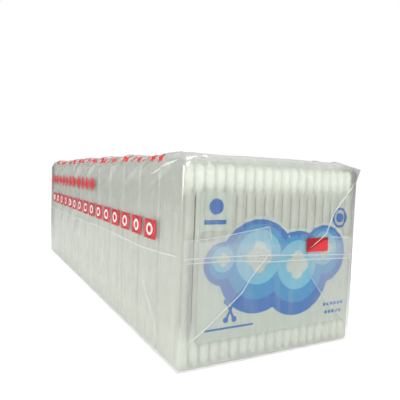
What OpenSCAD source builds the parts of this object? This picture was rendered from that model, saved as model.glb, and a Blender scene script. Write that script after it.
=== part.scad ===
// Wrapped pack of cotton swab bags: a row of clear bags, each with nested rows of upright swabs,
// held together by one outer wrap with folded and sealed ends.
// Front end faces -Y, left side faces -X, the pack stands on Z = 0.

/* [Swabs] */
// Length of one swab from tip to tip
swab_len = 73; // [60:0.5:90]
// Widest diameter of a cotton head
head_d = 4.1; // [3.6:0.05:6]
// Length of a cotton head
head_len = 13; // [9:0.5:18]
// Diameter of the stick
stick_d = 2.4; // [1.8:0.05:2.6]
// Cotton past the end of the stick
tip_cover = 2; // [1:0.1:3]
// Length of the blunt cone at the tip of a cotton head
tip_cone = 1.6; // [0.5:0.1:3]
// Swabs across the widest row
swabs_across = 19; // [8:1:24]
// Rows of swabs in a bag, each nested into the next
rows = 5; // [1:1:8]
// Space between neighbouring heads in a row
swab_gap = 0.18; // [0.1:0.02:0.6]
// Space between heads of neighbouring rows
row_gap = 0.39; // [0.1:0.01:0.8]

/* [Bags] */
// Bags in the pack, one behind another
bags = 12; // [1:1:12]
// Thickness that the bag film is drawn with
bag_film = 0.2; // [0.1:0.05:0.5]
// Space between the bag film and the heads
bag_clear = 0.3; // [0.2:0.05:0.8]
// Radius of the upright and bottom edges of a bag
bag_r = 1.4; // [0.8:0.1:2]
// Radius of the top edges of a bag, where the film is puffed up over the heads
bag_top_r = 4.6; // [3:0.2:9]
// Spare space between the heads and the puffed top of a bag
top_spare = 0.7; // [0.3:0.1:3]
// Space between two bags
bag_gap = 0.5; // [0.35:0.05:1.5]
// Width of the lap seam down the back of a bag
bag_seam_w = 8; // [4:0.5:14]

/* [Outer wrap] */
// Thickness that the wrap film is drawn with
wrap_film = 0.3; // [0.2:0.05:0.6]
// Space between the bags and the wrap at the sides, the ends and the top
wrap_clear = 0.5; // [0.4:0.05:1]
// Space between the bags and the wrap floor
floor_clear = 0.2; // [0.1:0.05:0.6]
// How far the sides swell outward
side_bulge = 0.8; // [0:0.1:2]
// How far the top swells upward
top_bulge = 0.6; // [0:0.1:2]
// Height of the pleats along the top edges
pleat_h = 0.7; // [0:0.1:1.5]
// Spacing of the pleats
pleat_pitch = 21; // [16:1:40]
// How far the pleats run down the sides and in over the top
pleat_reach = 11; // [6:0.5:18]
// Thickness of one folded flap on the ends
flap_t = 0.3; // [0.2:0.05:0.6]
// Height of the sealed line across the ends, above the floor
seal_z = 38; // [25:0.5:50]
// Height of each rib of the sealed line
seal_rib_h = 0.9; // [0.5:0.1:2]
// Distance between the two ribs of the sealed line
seal_rib_gap = 2.4; // [1.6:0.1:5]
// Height of the lap seam along the left side
lap_h = 1.2; // [0.6:0.1:4]

/* [Red print on the wrap] */
// Width of one red tile
tile_w = 11.5; // [6:0.5:14]
// Height of one red tile
tile_h = 7.6; // [4:0.2:9]
// Spacing of the tiles along the pack
tile_pitch = 15; // [14.5:0.5:24]
// Width of the red marks along the top edge
edge_mark_w = 2.6; // [2:0.2:6]
// Height of the middle of the tile row above the floor
tile_z = 48; // [44:0.5:50]
// Distance from the front end to the first tile
tile_start = 21; // [10:1:40]
// Height of the lozenges of the red band
lozenge_h = 8.8; // [4:0.2:9]
// Spacing of the lozenges
lozenge_pitch = 12; // [10:0.5:24]
// Height of the middle of the red band above the floor
band_z = 62.5; // [57:0.5:63]
// Distance from the front end to the red band
band_start = 112; // [60:1:160]
// Number of lozenges in the red band
lozenges = 12; // [1:1:12]

/* [Blue print on the front bag] */
// Size of the cloud of discs, as a factor
cloud_size = 1; // [0.7:0.05:1.05]
// Height of the middle of the cloud above the floor
cloud_z = 35; // [30:0.5:38]
// Thickness that one layer of ink is drawn with
ink_t = 0.06; // [0.04:0.01:0.08]

/* [Hidden] */
$fn = 48;
swab_pitch = head_d + swab_gap;
row_pitch = sqrt(pow(head_d + row_gap, 2) - pow(swab_pitch / 2, 2));
row_w = (swabs_across - 1) * swab_pitch + head_d;
rows_depth = (rows - 1) * row_pitch + head_d;
bag_skin = bag_clear + bag_film;
bag_w = row_w + 2 * bag_skin;
bag_depth = rows_depth + 2 * bag_skin;
tip_flat = 0.6;
full_share = 0.6;
function edge_drop(r, inset) = inset >= r ? 0 : r - sqrt(r * r - pow(r - inset, 2));
top_inner_r = bag_top_r - bag_film;
tip_inset = bag_clear + (1 - tip_flat) * head_d / 2;
top_room = top_spare + max(edge_drop(top_inner_r, tip_inset), edge_drop(top_inner_r, bag_clear) - tip_cone);
bag_h = bag_skin + swab_len + top_room + bag_film;
bag_pitch = bag_depth + bag_film + bag_gap;
row_of_bags = bags * bag_pitch - bag_gap;
cavity_w = bag_w + 2 * wrap_clear;
cavity_len = row_of_bags + 2 * wrap_clear;
cavity_h = bag_h + floor_clear + wrap_clear;
wrap_w = cavity_w + 2 * wrap_film;
wrap_len = cavity_len + 2 * wrap_film;
wrap_h = cavity_h + 2 * wrap_film;
wrap_r = bag_r + wrap_film;
cavity_top_r = bag_top_r + wrap_clear;
wrap_top_r = cavity_top_r + wrap_film;
bag_z = wrap_film + floor_clear;
swab_z = bag_z + bag_skin;
first_bag_y = -row_of_bags / 2;
skin_side = wrap_w / 2;
skin_end = wrap_len / 2;
lap_t = wrap_film;
rib_t = wrap_film;
fade_len = 18;
ink_near = 0.15;
ink_far = 0.27;
ink_gap = 0.02;
edge_mark_low = 30;
edge_mark_high = 64;
end_tile_x = 20;
end_tile_share = 0.75;
lozenge_share = 0.95;
print_right = bag_w / 2 - bag_r;
print_left = 6.5 - bag_w / 2;
backing_rim = 1.4;
backing_low = 9.5;
backing_high = 46;
patch_x = 13 - bag_w / 2;
patch_z = 57 - bag_z;
patch_size = [13, 14];
patch_disc = [1.8, 2.9];
patch_bar = [9.2, 1.6];
patch_bar_z = -3.8;
emblem_x = bag_w / 2 - 8;
emblem_z = 54 - bag_z;
emblem_radii = [4.2, 3.3, 1.9];
motif_x = 20.5 - bag_w / 2;
motif_z = 20.5 - bag_z;
motif_turn = 28;
motif_stick = [0.9, 8];
motif_head = [3.9, 1.1];
motif_line = [21, 0.7];
motif_line_z = -6.4;
dot_x = 26.5;
dot_z = 17;
dot_step = 2;
dot_drop = 3.4;
dot_r = 0.75;
cloud_discs = [[-24.5, 3, 8], [-8.5, 1, 18], [10.5, -3, 17], [24.5, 4, 12]];
mid_share = [0.8, 0.1];
pale_share = [0.58, 0.2];
lobe_share = 0.17;

function two_digits(k) = k < 10 ? str("0", k) : str(k);
function film_name(k) = str("bag_film_", two_digits(k));
function sticks_name(k) = str("swab_sticks_", two_digits(k));
function bottoms_name(k) = str("bottom_cotton_", two_digits(k));
function tops_name(k) = str("top_cotton_", two_digits(k));
PRINTS = ["red_print", "white_backing", "deep_blue_print", "mid_blue_print", "pale_blue_print", "white_motifs"];
FILMS = [for (k = [1:bags]) film_name(k)];
STICKS = [for (k = [1:bags]) sticks_name(k)];
BOTTOMS = [for (k = [1:bags]) bottoms_name(k)];
TOPS = [for (k = [1:bags]) tops_name(k)];

// Block on Z = 0 with rounded upright and bottom edges, and wider rounds on its top edges
module rounded_rect(w, h, r, top_r) {
    top = min(top_r, w / 2 - 0.1);
    translate([-w / 2, r])
        square([w, h - r - top]);
    translate([r - w / 2, 0])
        square([w - 2 * r, h - top]);
    translate([top - w / 2, r])
        square([w - 2 * top, h - r]);
    for (side = [-1, 1]) {
        translate([side * (w / 2 - r), r])
            circle(r);
        translate([side * (w / 2 - top), h - top])
            circle(top);
    }
}
module rounded_block(w, d, h, r, top_r) {
    intersection() {
        linear_extrude(h)
            translate([0, -d / 2])
                rounded_rect(w, d, r, r);
        translate([0, d / 2, 0])
            rotate([90, 0, 0])
                linear_extrude(d)
                    rounded_rect(w, h, r, top_r);
        translate([-w / 2, 0, 0])
            rotate([90, 0, 90])
                linear_extrude(w)
                    rounded_rect(d, h, r, top_r);
    }
}

// Places one child at each swab of a bag
module at_swabs(bag) {
    y0 = first_bag_y + (bag - 1) * bag_pitch + bag_skin + head_d / 2;
    for (row = [0:rows - 1]) {
        count = swabs_across - row % 2;
        for (i = [0:count - 1])
            translate([(i - (count - 1) / 2) * swab_pitch, y0 + row * row_pitch, swab_z])
                children();
    }
}

module stick() {
    translate([0, 0, tip_cover])
        cylinder(h = swab_len - 2 * tip_cover, d = stick_d);
}

// Wound cotton: a blunt tip, a full body and a taper to the stick
module cotton_head() {
    r = head_d / 2;
    tip = [[0, 0], [tip_flat * r, 0], [r, tip_cone]];
    body = [[r, head_len * full_share], [stick_d / 2, head_len]];
    bore = [[stick_d / 2, tip_cover], [0, tip_cover]];
    rotate_extrude()
        polygon(concat(tip, body, bore));
}

module swab_sticks(bag) {
    color("ivory")
        at_swabs(bag)
            stick();
}

module bottom_cotton(bag) {
    color("white")
        at_swabs(bag)
            cotton_head();
}

module top_cotton(bag) {
    color("white")
        at_swabs(bag)
            translate([0, 0, swab_len])
                mirror([0, 0, 1])
                    cotton_head();
}

// One bag: a film pouch with rounded edges and a lap seam down its back
module bag_film(bag) {
    y0 = first_bag_y + (bag - 1) * bag_pitch;
    color("gainsboro", 0.4)
        translate([0, y0 + bag_depth / 2, bag_z]) {
            difference() {
                rounded_block(bag_w, bag_depth, bag_h, bag_r, bag_top_r);
                translate([0, 0, bag_film])
                    rounded_block(
                        bag_w - 2 * bag_film,
                        bag_depth - 2 * bag_film,
                        bag_h - 2 * bag_film,
                        bag_r - bag_film,
                        top_inner_r
                    );
            }
            translate([-bag_seam_w / 2, bag_depth / 2, bag_r])
                cube([bag_seam_w, bag_film, bag_h - bag_r - bag_top_r]);
        }
}

// How far the wrap stands out of a plain block: on its sides, its top and its ends
function clamp01(v) = min(1, max(0, v));
function end_fade(y) = clamp01((skin_end - abs(y)) / fade_len);
function pleats(y, d) = pleat_h * pow(max(0, sin(360 * y / pleat_pitch)), 2) * clamp01(1 - d / pleat_reach);
function side_swell(y, z) =
    end_fade(y) * (side_bulge * sin(180 * clamp01(z / wrap_h)) + pleats(y, wrap_h - z));
function top_swell(x, y) =
    end_fade(y) * (top_bulge * (1 - pow(x / skin_side, 2)) + pleats(y, skin_side - abs(x)));
end_low = wrap_r;
end_high = wrap_h - wrap_top_r;
end_half_w = skin_side - wrap_r;
function end_swell(x, z) =
    let (from_level = min(z - end_low, end_high - z), from_side = end_half_w - abs(x))
    from_level < from_side ? flap_t * clamp01(from_level / 2) : 0;

// The wrap as rings of points: out from the middle of one end, along the pack, in to the other end.
// A frame is [half width, low, high, bottom corner radius, top corner radius] of one ring
top_corner_steps = 6;
low_corner_steps = 3;
side_steps = 7;
top_edge_steps = 4;
low_edge_steps = 3;
end_steps = 7;
long_steps = 56;
least_r = 0.05;
core_half = 0.4;
end_core = min(end_half_w, (end_high - end_low) / 2) - core_half;
function corner_mark(c, angle, f) =
    let (
        r = c < 2 ? f[4] : f[3],
        turn = 90 * c + angle,
        sx = c == 0 || c == 3 ? 1 : -1,
        z = c < 2 ? f[2] - r : f[1] + r
    )
    [sx * (f[0] - r) + r * cos(turn), z + r * sin(turn), turn];
function side_mark(c, share, f) =
    let (a = corner_mark(c, 90, f), b = corner_mark((c + 1) % 4, 0, f))
    [a[0] + (b[0] - a[0]) * share, a[1] + (b[1] - a[1]) * share, 90 * (c + 1)];
function ring_marks(f) = [
    for (c = [0:3])
        let (steps = c < 2 ? top_corner_steps : low_corner_steps)
        each concat(
            [for (s = [0:steps]) corner_mark(c, 90 * s / steps, f)],
            [for (s = [1:side_steps - 1]) side_mark(c, s / side_steps, f)]
        )
];
// A station is [place along the pack, its frame, outward share of the sides, outward share of the top]
function end_frame(inset) =
    [end_half_w - inset, end_low + inset, end_high - inset, least_r, least_r];
function edge_frame(e) = [
    skin_side - edge_drop(wrap_r, e),
    edge_drop(wrap_r, e),
    wrap_h - edge_drop(wrap_top_r, e),
    max(wrap_r - edge_drop(wrap_r, e), least_r),
    max(wrap_top_r - edge_drop(wrap_top_r, e), least_r)
];
function out_share(r, e) = e >= r ? 1 : sqrt(1 - pow((r - e) / r, 2));
low_edge = [for (s = [0:low_edge_steps]) wrap_r * (1 - cos(90 * s / low_edge_steps))];
top_start = acos(1 - wrap_r / wrap_top_r);
top_edge = [
    for (s = [1:top_edge_steps])
        wrap_top_r * (1 - cos(top_start + (90 - top_start) * s / top_edge_steps))
];
edge_insets = concat(low_edge, top_edge);
front_stations = concat(
    [for (s = [0:end_steps - 1]) [-skin_end, end_frame(end_core * (1 - s / end_steps)), 0, 0]],
    [for (e = edge_insets) [-skin_end + e, edge_frame(e), out_share(wrap_r, e), out_share(wrap_top_r, e)]]
);
long_stations = [
    for (s = [1:long_steps - 1])
        [(2 * s / long_steps - 1) * (skin_end - wrap_top_r), edge_frame(wrap_top_r), 1, 1]
];
back_stations = [
    for (s = [len(front_stations) - 1:-1:0])
        let (f = front_stations[s])
        [-f[0], f[1], f[2], f[3]]
];
stations = concat(front_stations, long_stations, back_stations);
function skin_point(mark, station) =
    let (
        y = station[0],
        upward = max(0, sin(mark[2])),
        out = max(station[2] * (1 - upward), station[3] * upward)
    )
    [
        mark[0] + cos(mark[2]) * station[2] * side_swell(y, mark[1]),
        y + sign(y) * (1 - out) * end_swell(mark[0], mark[1]),
        mark[1] + upward * station[3] * top_swell(mark[0], y)
    ];

// Closed solid from rings of points, with a middle point at each end
module from_rings(rings, first_middle, last_middle) {
    n = len(rings[0]);
    m = len(rings);
    points = concat([for (ring = rings) each ring], [first_middle, last_middle]);
    walls = [
        for (j = [0:m - 2], i = [0:n - 1])
            let (k = (i + 1) % n)
            each [[j * n + i, j * n + k, (j + 1) * n + i], [j * n + k, (j + 1) * n + k, (j + 1) * n + i]]
    ];
    first_cap = [for (i = [0:n - 1]) [(i + 1) % n, i, n * m]];
    last_cap = [for (i = [0:n - 1]) [(m - 1) * n + i, (m - 1) * n + (i + 1) % n, n * m + 1]];
    polyhedron(points, concat(walls, first_cap, last_cap), convexity = 6);
}

module wrap_skin() {
    rings = [for (station = stations) [for (mark = ring_marks(station[1])) skin_point(mark, station)]];
    middle = (end_low + end_high) / 2;
    from_rings(rings, [0, -skin_end - flap_t, middle], [0, skin_end + flap_t, middle]);
}

// Thin solid over an outline in the unit square, between two distances out from the wrap
function rectangle_outline(steps_u, steps_v) = concat(
    [for (s = [0:steps_u - 1]) [s / steps_u - 0.5, -0.5]],
    [for (s = [0:steps_v - 1]) [0.5, s / steps_v - 0.5]],
    [for (s = [0:steps_u - 1]) [0.5 - s / steps_u, 0.5]],
    [for (s = [0:steps_v - 1]) [-0.5, 0.5 - s / steps_v]]
);
function lozenge_outline(steps) = [
    for (c = [0:3], s = [0:steps - 1])
        let (a = [cos(90 * c), sin(90 * c)] / 2, b = [cos(90 * c + 90), sin(90 * c + 90)] / 2)
        a + (b - a) * s / steps
];
function on_side(y, z, off) = [-skin_side - side_swell(y, z) - off, y, z];
function on_edge(y, lean, off) =
    let (
        x = wrap_top_r - skin_side - (wrap_top_r + off) * cos(lean),
        z = wrap_h - wrap_top_r + (wrap_top_r + off) * sin(lean)
    )
    [x - cos(lean) * side_swell(y, z), y, z + sin(lean) * top_swell(x, y)];
module side_patch(y, z, length, height, outline, near, far) {
    function lap(share, off) = [
        for (p = outline) on_side(y + p[0] * length * share, z + p[1] * height * share, off)
    ];
    from_rings(
        [lap(0.5, near), lap(1, near), lap(1, far), lap(0.5, far)],
        on_side(y, z, near),
        on_side(y, z, far)
    );
}
module edge_patch(y, low, high, length, outline, near, far) {
    middle = (low + high) / 2;
    function lap(share, off) = [
        for (p = outline) on_edge(y + p[0] * length * share, middle + p[1] * (high - low) * share, off)
    ];
    from_rings(
        [lap(0.5, near), lap(1, near), lap(1, far), lap(0.5, far)],
        on_edge(y, middle, near),
        on_edge(y, middle, far)
    );
}

// Two ribs of the sealed line across an end, lying over both flaps
module seal_ribs() {
    reach = wrap_w - 2 * (wrap_r + flap_t);
    for (side = [-1, 1])
        translate([-reach / 2, -skin_end - flap_t - rib_t, seal_z + side * seal_rib_gap / 2 - seal_rib_h / 2])
            cube([reach, flap_t + 2 * rib_t, seal_rib_h]);
}

module outer_wrap() {
    color("lightcyan", 0.35) {
        difference() {
            wrap_skin();
            translate([0, 0, wrap_film])
                rounded_block(cavity_w, cavity_len, cavity_h, bag_r, cavity_top_r);
        }
        seal_ribs();
        rotate([0, 0, 180])
            seal_ribs();
        side_patch(0, seal_z, 2 * (skin_end - wrap_r), lap_h, rectangle_outline(40, 1), -lap_t, lap_t);
    }
}

// Red print: a row of tiles and a band of lozenges on the left side, marks along the top edge above it,
// and one tile on the front end
module red_print() {
    tiles = floor((wrap_len - tile_start - wrap_r - tile_w / 2) / tile_pitch);
    tile = rectangle_outline(3, 1);
    mark = rectangle_outline(1, 2);
    color("crimson") {
        for (i = [0:tiles - 1]) {
            y = -skin_end + tile_start + tile_w / 2 + i * tile_pitch;
            side_patch(y, tile_z, tile_w, tile_h, tile, ink_near, ink_far);
            for (side = [-1, 1])
                edge_patch(
                    y + side * tile_pitch / 4,
                    edge_mark_low,
                    edge_mark_high,
                    edge_mark_w,
                    mark,
                    ink_near,
                    ink_far
                );
        }
        for (i = [0:lozenges - 1])
            side_patch(
                -skin_end + band_start + (i + 0.5) * lozenge_pitch,
                band_z,
                lozenge_pitch * lozenge_share,
                lozenge_h,
                lozenge_outline(2),
                ink_near,
                ink_far
            );
        translate([end_tile_x - tile_w / 2, -skin_end - flap_t - ink_far, seal_z + seal_rib_gap])
            cube([tile_w, ink_far - ink_near, tile_h * end_tile_share]);
    }
}

// Print on the front bag. A layer of ink lies on the one below it, the first on the film
module ink(layer) {
    translate([0, first_bag_y - ink_gap - layer * ink_t, bag_z])
        rotate([90, 0, 0])
            linear_extrude(ink_t)
                children();
}
module disc(x, z, r) {
    translate([x, z])
        circle(r);
}
module bar(x0, x1, z0, z1) {
    translate([x0, z0])
        square([x1 - x0, z1 - z0]);
}
// Cloud of discs, each drawn at a share of its size and raised by a share of it
module cloud(share, rise, grow) {
    for (d = cloud_discs) {
        z = cloud_z - bag_z + cloud_size * (d[1] + rise * d[2]);
        disc(cloud_size * d[0], z, cloud_size * d[2] * share + grow);
    }
}
module white_backing() {
    color("whitesmoke")
        ink(0) {
            cloud(1, 0, backing_rim);
            bar(print_left, print_right, backing_low, backing_high);
            translate([patch_x, patch_z])
                square(patch_size, center = true);
        }
}
module deep_blue_print() {
    color("mediumblue")
        ink(1) {
            cloud(1, 0, 0);
            disc(patch_x, patch_z + patch_disc[0], patch_disc[1]);
            translate([patch_x, patch_z + patch_bar_z])
                square(patch_bar, center = true);
            difference() {
                disc(emblem_x, emblem_z, emblem_radii[0]);
                disc(emblem_x, emblem_z, emblem_radii[1]);
            }
            disc(emblem_x, emblem_z, emblem_radii[2]);
            crossed_swabs();
            for (row = [0:1], i = [0:5 - row])
                disc(dot_x + dot_step * (i + row / 2), dot_z - dot_drop * row, dot_r);
        }
}
// Small picture of two crossed swabs over a line
module crossed_swabs() {
    translate([motif_x, motif_z]) {
        for (turn = [-motif_turn, motif_turn])
            rotate(turn) {
                square(motif_stick, center = true);
                for (end = [-1, 1])
                    translate([0, motif_head[0] * end])
                        circle(motif_head[1]);
            }
        translate([0, motif_line_z])
            square(motif_line, center = true);
    }
}
module mid_blue_print() {
    color("cornflowerblue")
        ink(2)
            cloud(mid_share[0], mid_share[1], 0);
}
module pale_blue_print() {
    color("lightskyblue")
        ink(3)
            cloud(pale_share[0], pale_share[1], 0);
}
// Cotton bolls of four lobes, one on each disc of the cloud
module white_motifs() {
    color("white")
        ink(4)
            for (d = cloud_discs)
                translate([cloud_size * d[0], cloud_z - bag_z + cloud_size * (d[1] + pale_share[1] * d[2])])
                    for (turn = [0:90:270])
                        rotate(turn)
                            translate([0, lobe_share * d[2]])
                                circle(lobe_share * d[2]);
}

outer_wrap();
red_print();
white_backing();
deep_blue_print();
mid_blue_print();
pale_blue_print();
white_motifs();
for (k = [1:bags]) {
    bag_film(k);
    swab_sticks(k);
    bottom_cotton(k);
    top_cotton(k);
}
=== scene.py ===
import math

import bmesh
import bpy
import numpy as np
from mathutils import Matrix, Vector


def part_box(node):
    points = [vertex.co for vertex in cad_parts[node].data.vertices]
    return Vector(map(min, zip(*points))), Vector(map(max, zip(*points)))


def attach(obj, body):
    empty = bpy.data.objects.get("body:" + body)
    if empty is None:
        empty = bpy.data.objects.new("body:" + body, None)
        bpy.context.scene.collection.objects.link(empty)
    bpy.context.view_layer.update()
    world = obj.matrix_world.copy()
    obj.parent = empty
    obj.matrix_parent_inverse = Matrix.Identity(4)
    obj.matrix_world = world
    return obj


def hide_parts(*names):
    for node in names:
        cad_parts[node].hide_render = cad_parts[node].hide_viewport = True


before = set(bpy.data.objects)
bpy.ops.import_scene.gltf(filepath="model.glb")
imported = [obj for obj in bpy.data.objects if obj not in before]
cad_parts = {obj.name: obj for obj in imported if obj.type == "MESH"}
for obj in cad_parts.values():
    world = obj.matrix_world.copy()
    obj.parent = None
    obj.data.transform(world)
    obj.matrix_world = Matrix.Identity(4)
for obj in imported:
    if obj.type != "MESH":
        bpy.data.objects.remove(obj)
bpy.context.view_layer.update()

bl_info = {
    "name": "Wrapped pack of cotton swabs",
    "version": (1, 0, 0),
    "blender": (4, 5, 0),
    "location": "View3D > Sidebar > Swab Pack",
    "description": "Dresses a wrapped pack of cotton swab bags with film, cotton and printed ink",
    "category": "Object",
}

MM = 0.001
BAGS = sorted(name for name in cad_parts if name.startswith("bag_film_"))


def box_mm(node):
    """Lowest and highest corner of a CAD node, in millimetres."""
    low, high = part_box(node)
    return np.array(low) / MM, np.array(high) / MM


WRAP_LOW, WRAP_HIGH = box_mm("outer_wrap")
BAG_LOW, BAG_HIGH = box_mm(BAGS[0])
NEXT_LOW, _ = box_mm(BAGS[1])
BAG_PITCH = NEXT_LOW[1] - BAG_LOW[1]


def length_setting(name, description, default):
    """Setting for a length in millimetres."""
    return bpy.props.FloatProperty(name=name, description=description + ", in millimetres", default=default)


def count_setting(name, description, default):
    """Setting for a number of faces."""
    return bpy.props.IntProperty(name=name, description=description, default=default)


def share_setting(name, description, default):
    """Setting for a share from 0 to 1."""
    return bpy.props.FloatProperty(name=name, description=description, default=default, subtype="FACTOR")


def angle_setting(name, description, degrees):
    """Setting for an angle."""
    turn = math.radians(degrees)
    return bpy.props.FloatProperty(name=name, description=description, default=turn, subtype="ANGLE")


def color_setting(name, description, default):
    """Setting for a colour."""
    return bpy.props.FloatVectorProperty(name=name, description=description, default=default, subtype="COLOR")


class WrapSizes(bpy.types.PropertyGroup):
    """Shape of the outer wrap."""

    swell: length_setting("Swell", "How far the sides and the top bow outward", 0.8)
    pleat_height: length_setting("Pleat height", "Height of the pleats along the top edges", 2.0)
    pleat_reach: length_setting("Pleat reach", "How far a pleat runs to both sides of its edge", 17.0)
    wrinkle_height: length_setting("Wrinkle height", "Height of the small wrinkles all over the film", 0.12)
    mesh_step: length_setting("Mesh step", "Size of one face of the wrap", 1.2)
    haze: share_setting("Haze", "Share of light that the clear wrap scatters", 0.07)
    film_color: color_setting("Film", "Tint of the outer film", (0.8, 0.81, 0.78))


class BagSizes(bpy.types.PropertyGroup):
    """Shape of the film round each bag."""

    groove: length_setting("Groove", "How deep the film sinks in between two swabs", 0.6)
    haze: share_setting("Haze", "Share of light that the bag film scatters", 0.5)
    film_color: color_setting("Film", "Tint of the bag film", (0.73, 0.76, 0.67))


class SwabSizes(bpy.types.PropertyGroup):
    """Shape and colour of the swabs."""

    front_segments: count_setting("Front segments", "Faces round a cotton head of the front bag", 12)
    segments: count_setting("Segments", "Faces round any other cotton head", 8)
    uneven: length_setting("Uneven", "How far the heads differ in height", 0.3)
    cotton_color: color_setting("Cotton", "Colour of the cotton", (0.95, 0.97, 0.93))
    stick_color: color_setting("Stick", "Colour of the sticks", (0.7, 0.73, 0.68))


class InkColors(bpy.types.PropertyGroup):
    """Colours of the print."""

    red: color_setting("Red", "Red on the wrap", (0.7, 0.035, 0.045))
    white: color_setting("White", "White backing on the front bag", (0.62, 0.68, 0.6))
    deep_blue: color_setting("Deep blue", "Darkest blue on the front bag", (0.0, 0.12, 0.41))
    mid_blue: color_setting("Mid blue", "Middle blue on the front bag", (0.01, 0.23, 0.48))
    pale_blue: color_setting("Pale blue", "Pale blue on the front bag", (0.13, 0.42, 0.57))


class StageSizes(bpy.types.PropertyGroup):
    """Camera, lights and floor."""

    camera_at: bpy.props.FloatVectorProperty(
        name="Camera",
        description="Where the camera stands",
        default=(-0.1051, -0.2579, 0.0691),
        subtype="TRANSLATION",
    )
    yaw: angle_setting("Yaw", "Turn of the view to the right", 28.65)
    pitch: angle_setting("Pitch", "Tilt of the view upward", -3.13)
    roll: angle_setting("Roll", "Turn of the picture", 2.13)
    lens: length_setting("Lens", "Focal length for a 36 mm sensor", 38.1)
    sky: bpy.props.FloatProperty(name="Sky", description="Strength of the light from all round", default=0.45)
    floor_color: color_setting("Floor", "Colour of the floor", (0.94, 0.94, 0.93))


# Mesh helpers. Lengths are in millimetres until a mesh is made.

# Half width of a block's innermost ring, its least edge radius, and how fast the edges widen over the top
CORE_HALF = 0.4
LEAST_R = 0.05
WIDEN = 0.6


def rounded_ring(half_a, half_b, radius, steps_a, steps_b, corner_steps):
    """Points of a rounded rectangle, counterclockwise."""
    marks = []
    centres = [(1, 1), (-1, 1), (-1, -1), (1, -1)]
    for quarter, (side_a, side_b) in enumerate(centres):
        next_a, next_b = centres[(quarter + 1) % 4]
        centre = np.array([side_a * (half_a - radius), side_b * (half_b - radius)])
        for step in range(corner_steps + 1):
            turn = math.radians(90 * (quarter + step / corner_steps))
            marks.append(centre + radius * np.array([math.cos(turn), math.sin(turn)]))
        out = marks[-1] - centre
        ahead = np.array([next_a * (half_a - radius), next_b * (half_b - radius)])
        steps = steps_a if side_b == next_b else steps_b
        for step in range(1, steps):
            marks.append(centre + out + (ahead - centre) * step / steps)
    return np.array(marks)


def loaf_rings(half, height, low_r, top_r, steps, round_steps=5, corner_steps=5):
    """Points of a block with sharp bottom edges and wide rounds on top, as rings from its base to its top.

    half holds the half sizes along X and Y, and steps the mesh steps along X, Y and Z.
    """
    core = min(half) - CORE_HALF
    step_in = max(steps[0], steps[1])
    low_count = max(3, round((core - low_r) / step_in))
    top_count = max(3, round((core - top_r) / step_in))
    wall_count = round((height - low_r - top_r) / steps[2])
    leans = [math.pi / 2 * s / round_steps for s in range(round_steps + 1)]
    # Each station is (how far in from the walls, height, radius of the upright edges)
    stations = [(core + (low_r - core) * s / low_count, 0.0, LEAST_R) for s in range(low_count)]
    stations += [(low_r * (1 - math.sin(a)), low_r * (1 - math.cos(a)), low_r * math.sin(a)) for a in leans]
    stations += [
        (0.0, low_r + (height - low_r - top_r) * s / wall_count, low_r) for s in range(1, wall_count)
    ]
    for a in [math.pi / 4 * s / round_steps for s in range(2 * round_steps)]:
        inset = top_r * (1 - math.cos(a))
        stations.append((inset, height - top_r + top_r * math.sin(a), low_r + WIDEN * inset))
    stations += [
        (top_r + (core - top_r) * s / top_count, height, low_r + WIDEN * top_r) for s in range(top_count + 1)
    ]
    steps_a, steps_b = round(2 * half[0] / steps[0]), round(2 * half[1] / steps[1])
    rings = []
    for inset, z, radius in stations:
        half_a, half_b = half[0] - inset, half[1] - inset
        radius = min(max(radius, LEAST_R), 0.9 * min(half_a, half_b))
        ring = rounded_ring(half_a, half_b, radius, steps_a, steps_b, corner_steps)
        rings.append(np.column_stack([ring, np.full(len(ring), z)]))
    return np.array(rings)


def outward(rings):
    """Unit normals of rings of points that run counterclockwise and upward."""
    around = np.roll(rings, -1, 1) - np.roll(rings, 1, 1)
    normals = np.cross(around, np.gradient(rings, axis=0))
    return normals / np.maximum(np.linalg.norm(normals, axis=-1, keepdims=True), 1e-9)


def make_mesh(name, points, faces):
    """Smooth mesh in metres from points in millimetres."""
    mesh = bpy.data.meshes.new(name)
    mesh.from_pydata((np.asarray(points, float) * MM).tolist(), [], faces)
    mesh.validate()
    mesh.shade_smooth()
    return mesh


def mesh_from_rings(name, rings):
    """Closed mesh from rings of points that run counterclockwise and upward."""
    count, size = rings.shape[:2]
    points = np.concatenate([rings.reshape(-1, 3), rings[0].mean(0)[None], rings[-1].mean(0)[None]])
    here = np.arange(count - 1)[:, None] * size + np.arange(size)[None]
    beside = np.arange(count - 1)[:, None] * size + (np.arange(size)[None] + 1) % size
    walls = np.stack([here, beside, beside + size, here + size], 2).reshape(-1, 4)
    first, last = count * size, count * size + 1
    turn = [(i, (i + 1) % size) for i in range(size)]
    caps = [(b, a, first) for a, b in turn]
    caps += [((count - 1) * size + a, (count - 1) * size + b, last) for a, b in turn]
    return make_mesh(name, points, walls.tolist() + caps)


def store(mesh, name, values):
    """Stores one number for each point of a mesh, for its material to read."""
    mesh.attributes.new(name, "FLOAT", "POINT").data.foreach_set("value", values.astype(np.float32))


def paint(mesh, name, rings):
    """Stores one number for each point of a mesh made from rings."""
    store(mesh, name, np.concatenate([rings.ravel(), [rings[0].mean(), rings[-1].mean()]]))


def add_piece(name, mesh, material, slot, replaces=()):
    """Object that rides with the pack and takes the given material; slot is not used."""
    piece = bpy.data.objects.new(name, mesh)
    bpy.context.scene.collection.objects.link(piece)
    mesh.materials.clear()
    mesh.materials.append(material)
    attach(piece, "root")
    if replaces:
        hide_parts(*replaces)
    return piece


# How the films stand out. Each function gives millimetres outward, over arrays of points.


def ripple(u, v, seed, size, count=7):
    """Smooth uneven surface between -1 and 1, with bumps of about the given size."""
    rng = np.random.default_rng(seed)
    total = np.zeros_like(u)
    for _ in range(count):
        angle = rng.uniform(0, math.pi)
        wave = 2 * math.pi / (size * rng.uniform(0.7, 1.6))
        total += np.sin(wave * (u * math.cos(angle) + v * math.sin(angle)) + rng.uniform(0, 2 * math.pi))
    return total / count


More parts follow.
